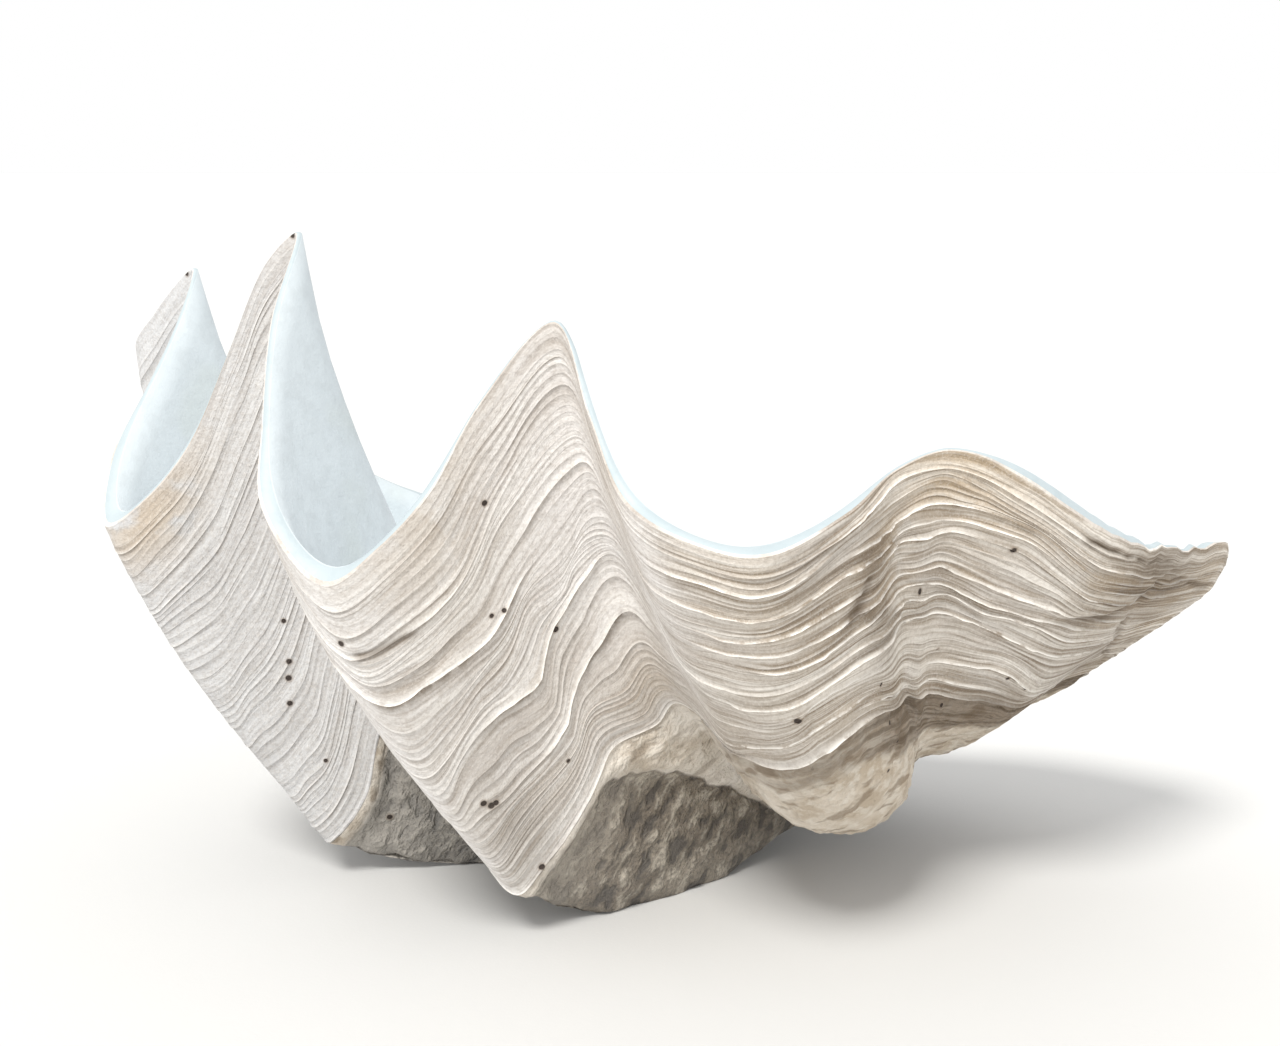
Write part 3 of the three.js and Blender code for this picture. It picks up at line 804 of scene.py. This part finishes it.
# Painted shade under the pause line, as if the younger wall overhung the band: its strength round the rim
# and the age down to which it reaches.
SHADE_UNDER_PAUSE = [(0, 0), (17.5, 0), (20, 0.1), (21.5, 0.3), (23, 0.5), (24.5, 0.9), (30, 1), (32, 0.5)]
SHADED_AGES = [(0, 0.53), (20, 0.53), (23, 0.54), (24.5, 0.58), (28, 0.6), (31, 0.55)]
# Patches of painted shade on flanks and undersides that turn away from the light, and in the creases at the
# right end.
SHADE_SPOTS = [
    (28.9, 0.12, 0.7, 0.14, 0.75), (28.9, 0.42, 0.9, 0.14, 0.6), (24.35, 0.22, 0.4, 0.2, 0.45),
    (30.4, 0.06, 0.5, 0.1, 0.5), (23.6, 0.05, 0.6, 0.07, 0.35), (27.6, 0.5, 1.0, 0.06, 0.4),
    (15.8, 0.44, 0.6, 0.09, 0.35),
]


def patches(spots):
    """Soft elliptical patches, each with a place, an age, its half sizes and a strength."""
    total = np.zeros_like(age)
    for place, spot_age, half_place, half_age, strength in spots:
        away = ((places[:, None] - place) / half_place) ** 2 + ((age - spot_age) / half_age) ** 2
        total = np.maximum(total, strength * np.exp(-away))
    return total


shaded_age = eased(places, SHADED_AGES)[:, None]
# Painted shade on the band just under the pause line.
shade_below_pause = below_pause * (1 - smoothstep(age - shaded_age, -0.015, 0.015))
shade_below_pause = shade_below_pause * eased(places, SHADE_UNDER_PAUSE)[:, None]
fresh = old_mask * (1 - smoothstep(age - band_end, 0.0, 0.09))
store("grey", eased(places, GREY_BY_PLACE)[:, None])
store("warm", eased(places, WARM_BY_PLACE)[:, None])
store("stain", patches(STAINS))
# Pale shell with painted light.
store("pale_and_painted_light", patches(PALE_AND_PAINTED_LIGHT))
# The painted shade of the creases, of the band under the pause line and of the dark patches.
store("painted_shade", np.maximum(np.maximum(crease_shade_mask, shade_below_pause), patches(SHADE_SPOTS)))
store("fresh", fresh)
store("old_shell", old_mask)
store("band", band_mask)
store("across_rim", 0.0, RIM_ACROSS, 1.0)
store("place", places[:, None])
print("stored", [layer.name for layer in mesh.attributes if layer.domain == "POINT"])

# %% [markdown]
# ## Pits
# Boring sponges and worms left small brown holes in the shell, about 4 mm wide. Each is placed at a
# picture point. The material darkens and dents the spots that lie near one.

# %% Pits: picture point and radius in millimetres
PITS = [
    (1016, 551, 2.6), (919, 592, 2.4), (800, 721, 2.8), (1026, 688, 2.4), (938, 700, 2), (889, 723, 2.2),
    (879, 685, 1.6), (290, 657, 2.4), (291, 678, 2.6), (289, 701, 2.4), (284, 621, 2), (344, 645, 2.4),
    (388, 824, 2.6), (326, 758, 1.8), (484, 802, 2.6), (491, 803, 2.8), (498, 802, 2.4), (484, 502, 2.2),
    (507, 607, 1.8), (492, 615, 1.8), (556, 630, 2.4), (569, 762, 1.8), (542, 865, 2.6), (188, 276, 2.8),
    (294, 239, 2.6), (898, 742, 1.8), (884, 768, 1.6), (1005, 676, 1.6), (940, 650, 1.6),
]
pit_centres = []
for x, y, radius in PITS:
    pit_place, pit_age = picked(x, y)
    column = np.abs(places - pit_place).argmin()
    pit_centres.append(outer[column, np.abs(age[column] - pit_age).argmin()])
print(len(pit_centres), "pits")

# %% [markdown]
# ## Colours and nodes
# Colours are written as they look on a screen and turned into the linear values that light works
# with. One function adds any node: its settings are named, and each input takes a number, a colour
# or another node's output.

# %% Helpers for materials
def linear(hex_colour):
    """A screen colour such as #c8b090 as linear red, green, blue and alpha."""
    channels = [int(hex_colour[i:i + 2], 16) / 255 for i in (1, 3, 5)]
    return [c / 12.92 if c <= 0.04045 else ((c + 0.055) / 1.055) ** 2.4 for c in channels] + [1]


def add_node(tree, kind, inputs=None, **settings):
    """A node with its settings, whose inputs are values or the outputs of other nodes."""
    node = tree.nodes.new("ShaderNode" + kind)
    for name, value in settings.items():
        setattr(node, name, value)
    for key, value in (inputs or {}).items():
        if isinstance(value, bpy.types.NodeSocket):
            tree.links.new(value, node.inputs[key])
        else:
            node.inputs[key].default_value = value
    return node


def new_material(name):
    """An empty material, its nodes and the object's own coordinates among them."""
    material = bpy.data.materials.new(name)
    material.use_nodes = True
    tree = material.node_tree
    tree.nodes.clear()
    return material, tree, add_node(tree, "TexCoord").outputs["Object"]


def coloured(tree, fields, base, layers):
    """A base colour under colour layers, each laid on where all its fields are strong."""
    colour = linear(base)
    for hex_colour, strength, names in layers:
        factor = strength
        for name in names:
            factor = add_node(tree, "Math", {0: fields[name], 1: factor}, operation="MULTIPLY").outputs[0]
        mixed = add_node(tree, "Mix", {0: factor, 6: colour, 7: linear(hex_colour)}, data_type="RGBA")
        colour = mixed.outputs[2]
    return colour


print("beige is", [round(value, 3) for value in linear("#b9aea2")])

# %% [markdown]
# ## The outside: chalky growth sheets
# The outside of the shell is aragonite, a chalk-like mineral laid down in thin sheets and then
# roughened by the sea. It is dull, with a roughness near 0.8 and the index of refraction 1.53 of
# the mineral. Its pattern has two families. Clouds and grain are ordinary noise in space. Lines and
# bands are noise that changes fast with the growth count and slowly along the rim, so that they
# always follow the sheets, as paint that is laid on with the animal's own growth would.

# %% Fields of the outside
chalk, tree, position = new_material("chalky_growth_sheets")

NOISES = {
    "cloud": (110, 2, 0.5), "patch": (32, 3, 0.6), "mottle": (10, 4, 0.62), "grain": (3.2, 3, 0.6),
    "speck": (1.5, 2, 0.6),
}
LINE_NOISES = {
    "zones": (240, 7.0, 2), "bands": (150, 1.8, 2), "lines": (90, 0.7, 2), "hairs": (50, 0.3, 1),
    "crust": (22, 1.8, 3),
}

fields = {}
# Among these values are the painted highlight on the lips, painted shade and painted light.
for name in ("growth", "lip", "shade", "tone", "grey", "warm", "stain", "pale_and_painted_light", "painted_shade",
             "fresh", "old_shell", "band"):
    fields[name] = add_node(tree, "Attribute", attribute_name=name).outputs["Fac"]
for name, (size_mm, detail, roughness) in NOISES.items():
    inputs = {"Vector": position, "Scale": 1 / (size_mm * MM), "Detail": detail, "Roughness": roughness}
    fields[name] = add_node(tree, "TexNoise", inputs).outputs[0]
for name, (along_mm, sheets, detail) in LINE_NOISES.items():
    counted = add_node(tree, "Math", {0: fields["growth"], 1: 1 / sheets}, operation="MULTIPLY")
    slow = add_node(tree, "VectorMath", {0: position, "Scale": 1 / (along_mm * MM)}, operation="SCALE")
    inputs = {"Vector": slow.outputs[0], "W": counted.outputs[0], "Scale": 1, "Detail": detail}
    fields[name] = add_node(tree, "TexNoise", inputs, noise_dimensions="4D").outputs[0]
print(len(fields), "fields")

# %% Pits as a field
PIT_SCALE = 0.85
nearest = None
for centre, (x, y, radius) in zip(pit_centres, PITS):
    away = add_node(tree, "VectorMath", {0: position, 1: centre * MM}, operation="DISTANCE")
    inputs = {0: away.outputs["Value"], 1: radius * PIT_SCALE * MM}
    sized = add_node(tree, "Math", inputs, operation="DIVIDE")
    if nearest is None:
        nearest = sized
    else:
        nearest = add_node(tree, "Math", {0: nearest.outputs[0], 1: sized.outputs[0]}, operation="MINIMUM")
fields["pit_distance"] = nearest.outputs[0]
print("nodes so far:", len(tree.nodes))

# %% Masks of the outside
MASKS = {
    "light zone": ("zones", 0.46, 0.6), "dark zone": ("zones", 0.52, 0.38),
    "light band": ("bands", 0.5, 0.62), "dark band": ("bands", 0.5, 0.4),
    "light line": ("lines", 0.52, 0.64), "dark line": ("lines", 0.48, 0.36),
    "dark hair": ("hairs", 0.48, 0.36), "light hair": ("hairs", 0.54, 0.66),
    "cloudy": ("cloud", 0.4, 0.62), "patchy": ("patch", 0.42, 0.62), "mottled": ("mottle", 0.45, 0.62),
    "rubbed": ("patch", 0.35, 0.5), "grainy": ("grain", 0.42, 0.66), "specked": ("speck", 0.5, 0.68),
    "unbroken": ("mottle", 0.3, 0.56), "streaked": ("lines", 0.62, 0.4),
    "crusted": ("crust", 0.5, 0.64), "scored": ("crust", 0.48, 0.36),
    "pit": ("pit_distance", 1.15, 0.7), "pit rim": ("pit_distance", 2.0, 1.0),
    "old": ("old_shell", 0.35, 0.65), "young": ("old_shell", 0.65, 0.35), "cream band": ("band", 0.3, 0.8),
    "deep tone": ("tone", 0.0, -0.7), "high tone": ("tone", 0.1, 0.8),
}
for name, (source, start, end) in MASKS.items():
    limits = {"Value": fields[source], "From Min": start, "From Max": end}
    ranged = add_node(tree, "MapRange", limits, interpolation_type="SMOOTHSTEP")
    fields[name] = ranged.outputs["Result"]
print(len(MASKS), "masks")

# %% [markdown]
# Each colour layer is one hex value, laid over what is there where all its fields are strong. The
# young wall comes first, then the regional tints with painted light on the pale crests, then the lips
# with their painted highlight and painted shade, then the band with painted light on it, the painted
# shade under the pause line and in the creases, then the old shell, and the pits last.

# %% Colours of the outside
BASE = "#ddd8d3"
COLOUR_LAYERS = [
    ("#e2ded8", 0.5, ["light zone"]), ("#bab0a5", 0.45, ["dark zone"]),
    ("#e2ddd7", 0.5, ["light band"]), ("#b0a396", 0.45, ["dark band"]),
    ("#e8e4de", 0.45, ["light line"]), ("#968979", 0.5, ["dark line"]),
    ("#918375", 0.4, ["dark hair"]), ("#eeeae5", 0.35, ["light hair"]),
    ("#a89a8a", 0.45, ["deep tone"]), ("#e4e0da", 0.5, ["high tone"]),
    ("#c9ccd0", 0.75, ["grey"]), ("#b9a88f", 0.4, ["warm", "cloudy"]), ("#c2b49f", 0.35, ["warm"]),
    # Pale shell with painted light on the crests.
    ("#b89d75", 0.75, ["stain", "rubbed"]), ("#f6f3f1", 0.9, ["pale_and_painted_light"]),
    ("#efe9e0", 0.6, ["warm", "light zone"]), ("#9c8b76", 0.4, ["warm", "dark zone", "cloudy"]),
    ("#f6f1e8", 0.6, ["warm", "light line"]), ("#83705a", 0.55, ["warm", "dark line"]),
    ("#75634e", 0.4, ["warm", "dark hair"]), ("#7d6b54", 0.5, ["warm", "dark band", "patchy"]),
    ("#8d7e6e", 0.22, ["grainy"]), ("#eae5de", 0.25, ["specked"]),
    # Painted shade under the lips and a painted highlight on their edges.
    ("#6b5a46", 0.9, ["shade", "unbroken"]), ("#f8f4ed", 1.0, ["lip", "unbroken"]),
    ("#ddd4c7", 0.95, ["cream band"]), ("#9d8a70", 0.5, ["cream band", "patchy"]),
    ("#b29d80", 0.45, ["cream band", "warm"]), ("#e6dfd3", 0.5, ["cream band", "mottled"]),
    # Painted light on the band.
    ("#7c6952", 0.65, ["cream band", "scored"]), ("#f5efe6", 0.85, ["cream band", "pale_and_painted_light"]),
    # Painted shade in the creases, under the pause line and on flanks turned away from the light.
    ("#6a5946", 0.75, ["painted_shade"]), ("#54442f", 0.8, ["painted_shade", "streaked"]),
    ("#786c5c", 1.0, ["old"]), ("#958b7b", 0.6, ["old", "patchy"]), ("#3a322a", 0.8, ["old", "scored"]),
    ("#bdb3a3", 0.85, ["old", "crusted"]), ("#352e27", 0.45, ["old", "grainy"]),
    ("#b8afa2", 0.7, ["fresh"]), ("#6f6558", 0.5, ["fresh", "scored"]),
    ("#a5a5a4", 0.5, ["old", "grey"]),
    ("#8a7663", 0.5, ["pit rim"]), ("#2d2018", 0.95, ["pit"]),
]
colour = coloured(tree, fields, BASE, COLOUR_LAYERS)
print(len(COLOUR_LAYERS), "colour layers,", len(tree.nodes), "nodes")

# %% [markdown]
# Height works the same way, in millimetres: fine lines between the lips, chalky grain everywhere,
# and coarser lumps, scores and pits on the old shell.

# %% Height of the outside in millimetres
HEIGHT_LAYERS = [
    ("hairs", 0.35, "young"), ("lines", 0.9, "young"), ("bands", 0.8, "young"),
    ("speck", 0.4, "young"), ("grain", 0.55, "young"), ("mottle", 1.1, "young"),
    ("mottle", 2.4, "cream band"), ("grain", 0.9, "cream band"), ("crust", 3.0, "cream band"),
    ("mottle", 3.6, "old"), ("grain", 2.0, "old"), ("speck", 0.6, "old"), ("crust", 6.0, "old"),
    ("crusted", 1.6, "old"), ("scored", -1.8, "old"), ("crusted", 0.8, "cream band"),
    ("pit", -2.4, "pit rim"),
]
height = 0.0
for name, size_mm, where in HEIGHT_LAYERS:
    sized = add_node(tree, "Math", {0: fields[name], 1: size_mm}, operation="MULTIPLY")
    layer = {0: sized.outputs[0], 1: fields[where], 2: height}
    height = add_node(tree, "Math", layer, operation="MULTIPLY_ADD").outputs[0]

bump = add_node(tree, "Bump", {"Height": height, "Distance": MM, "Strength": 1.0})
dull = add_node(tree, "MapRange", {"Value": fields["grain"], "To Min": 0.72, "To Max": 0.92})
surface = add_node(tree, "BsdfPrincipled", {
    "Base Color": colour, "Roughness": dull.outputs["Result"], "IOR": 1.53,
    "Normal": bump.outputs["Normal"],
})
add_node(tree, "OutputMaterial", {"Surface": surface.outputs[0]})
print("the outside has", len(tree.nodes), "nodes")

# %% [markdown]
# ## The inside: porcelain lining
# The lining is the same mineral in a dense, fine-grained layer, which looks like unglazed porcelain:
# bluish white, greyer on the edge of the rim, with faint clouds and a soft sheen.

# %% Lining
lining, tree, position = new_material("porcelain_lining")
across_rim = add_node(tree, "Attribute", attribute_name="across_rim").outputs["Fac"]
place_now = add_node(tree, "Attribute", attribute_name="place").outputs["Fac"]

LINING_NOISES = {"cloud": (90, 3, 0.5), "mottle": (14, 4, 0.6), "grain": (2.2, 3, 0.6)}
fields = {}
for name, (size_mm, detail, roughness) in LINING_NOISES.items():
    inputs = {"Vector": position, "Scale": 1 / (size_mm * MM), "Detail": detail, "Roughness": roughness}
    fields[name] = add_node(tree, "TexNoise", inputs).outputs[0]
LINING_MASKS = {
    "cloudy": (fields["cloud"], 0.4, 0.62), "green": (fields["cloud"], 0.46, 0.34),
    "mottled": (fields["mottle"], 0.45, 0.65), "rim": (across_rim, 0.99, 0.9),
    "line up": (across_rim, 0.55, 0.6), "line down": (across_rim, 0.68, 0.62),
    "line from": (place_now, 13.2, 13.8), "line to": (place_now, 15.6, 15.1),
    "right of": (place_now, 25, 28), "left of": (place_now, 36, 34.5),
}
for name, (source, start, end) in LINING_MASKS.items():
    limits = {"Value": source, "From Min": start, "From Max": end}
    ranged = add_node(tree, "MapRange", limits, interpolation_type="SMOOTHSTEP")
    fields[name] = ranged.outputs["Result"]

LINING_BASE = "#cdd5d9"
LINING_LAYERS = [
    ("#d6dee2", 0.5, ["cloudy"]), ("#c8d0cd", 0.4, ["green"]), ("#bfc6c9", 0.3, ["mottled"]),
    # Painted light: the lining toward the right end and the back is painted nearly white against the shade
    # it lies in.
    ("#f4f7f7", 0.9, ["right of", "left of"]),
    ("#b3bec2", 1.0, ["rim"]), ("#a8b5ba", 0.4, ["rim", "mottled"]),
    ("#8fa0a6", 0.5, ["rim", "line up", "line down", "line from", "line to"]),
]
colour = coloured(tree, fields, LINING_BASE, LINING_LAYERS)

rough = add_node(tree, "Math", {0: fields["mottle"], 1: 0.6}, operation="MULTIPLY")
fine = add_node(tree, "Math", {0: fields["grain"], 1: 0.18, 2: rough.outputs[0]}, operation="MULTIPLY_ADD")
bump = add_node(tree, "Bump", {"Height": fine.outputs[0], "Distance": MM, "Strength": 1.0})
sheen = add_node(tree, "MapRange", {"Value": fields["mottle"], "To Min": 0.4, "To Max": 0.62})
surface = add_node(tree, "BsdfPrincipled", {
    "Base Color": colour, "Roughness": sheen.outputs["Result"], "IOR": 1.53,
    "Normal": bump.outputs["Normal"],
})
add_node(tree, "OutputMaterial", {"Surface": surface.outputs[0]})
print("the lining has", len(tree.nodes), "nodes")

# %% Materials on the faces
mesh.materials.append(chalk)
mesh.materials.append(lining)
face_rows = np.concatenate([np.repeat(np.arange(row_count - 1), COLUMNS), np.zeros(COLUMNS, int),
                            np.full(COLUMNS, row_count)])
first_lining_row = outer_rows + 1
mesh.polygons.foreach_set("material_index", (face_rows >= first_lining_row).astype(int))
print(int((face_rows < first_lining_row).sum()), "faces with the outside's material")

# %% [markdown]
# ## Floor and light
# The shell stands on a plain pale floor under a white sky, with one soft sun from the upper left in
# front. The sky fills the folds, and the sun draws the lips and leaves the undersides dark.

# %% Floor
FLOOR_SIZE = 60
floor_mesh = bpy.data.meshes.new("floor")
half = FLOOR_SIZE / 2
floor_mesh.from_pydata([(-half, -half, 0), (half, -half, 0), (half, half, 0), (-half, half, 0)], [],
                       [(0, 1, 2, 3)])
floor = bpy.data.objects.new("floor", floor_mesh)
bpy.context.collection.objects.link(floor)
paint, tree, position = new_material("pale_studio_floor")
grain = add_node(tree, "TexNoise", {"Vector": position, "Scale": 1 / (3 * MM)})
bump = add_node(tree, "Bump", {"Height": grain.outputs[0], "Distance": 0.1 * MM})
surface = add_node(tree, "BsdfPrincipled", {
    "Base Color": linear("#d2d2d1"), "Roughness": 0.9, "Normal": bump.outputs["Normal"],
})
add_node(tree, "OutputMaterial", {"Surface": surface.outputs[0]})
floor_mesh.materials.append(paint)
print("floor", FLOOR_SIZE, "m wide")

# %% Sky and sun
SKY_STRENGTH = 1.0
SUN_STRENGTH = 2.7
SUN_WIDTH = math.radians(16)
SUN_HEIGHT = math.radians(52)
SUN_SIDE = math.radians(-22)

world = bpy.data.worlds.new("white_sky")
world.use_nodes = True
world.node_tree.nodes["Background"].inputs["Color"].default_value = linear("#ffffff")
world.node_tree.nodes["Background"].inputs["Strength"].default_value = SKY_STRENGTH
bpy.context.scene.world = world

sun_data = bpy.data.lights.new("soft_sun", "SUN")
sun_data.energy = SUN_STRENGTH
sun_data.angle = SUN_WIDTH
sun_data.color = linear("#fffdf9")[:3]
sun = bpy.data.objects.new("soft_sun", sun_data)
toward_shell = Vector((
    -math.sin(SUN_SIDE) * math.cos(SUN_HEIGHT), math.cos(SUN_SIDE) * math.cos(SUN_HEIGHT),
    -math.sin(SUN_HEIGHT),
))
sun.rotation_euler = toward_shell.to_track_quat("-Z", "Y").to_euler()
bpy.context.collection.objects.link(sun)
bpy.context.scene.view_settings.view_transform = "Standard"
print("sun shines toward", tuple(round(value, 2) for value in toward_shell))
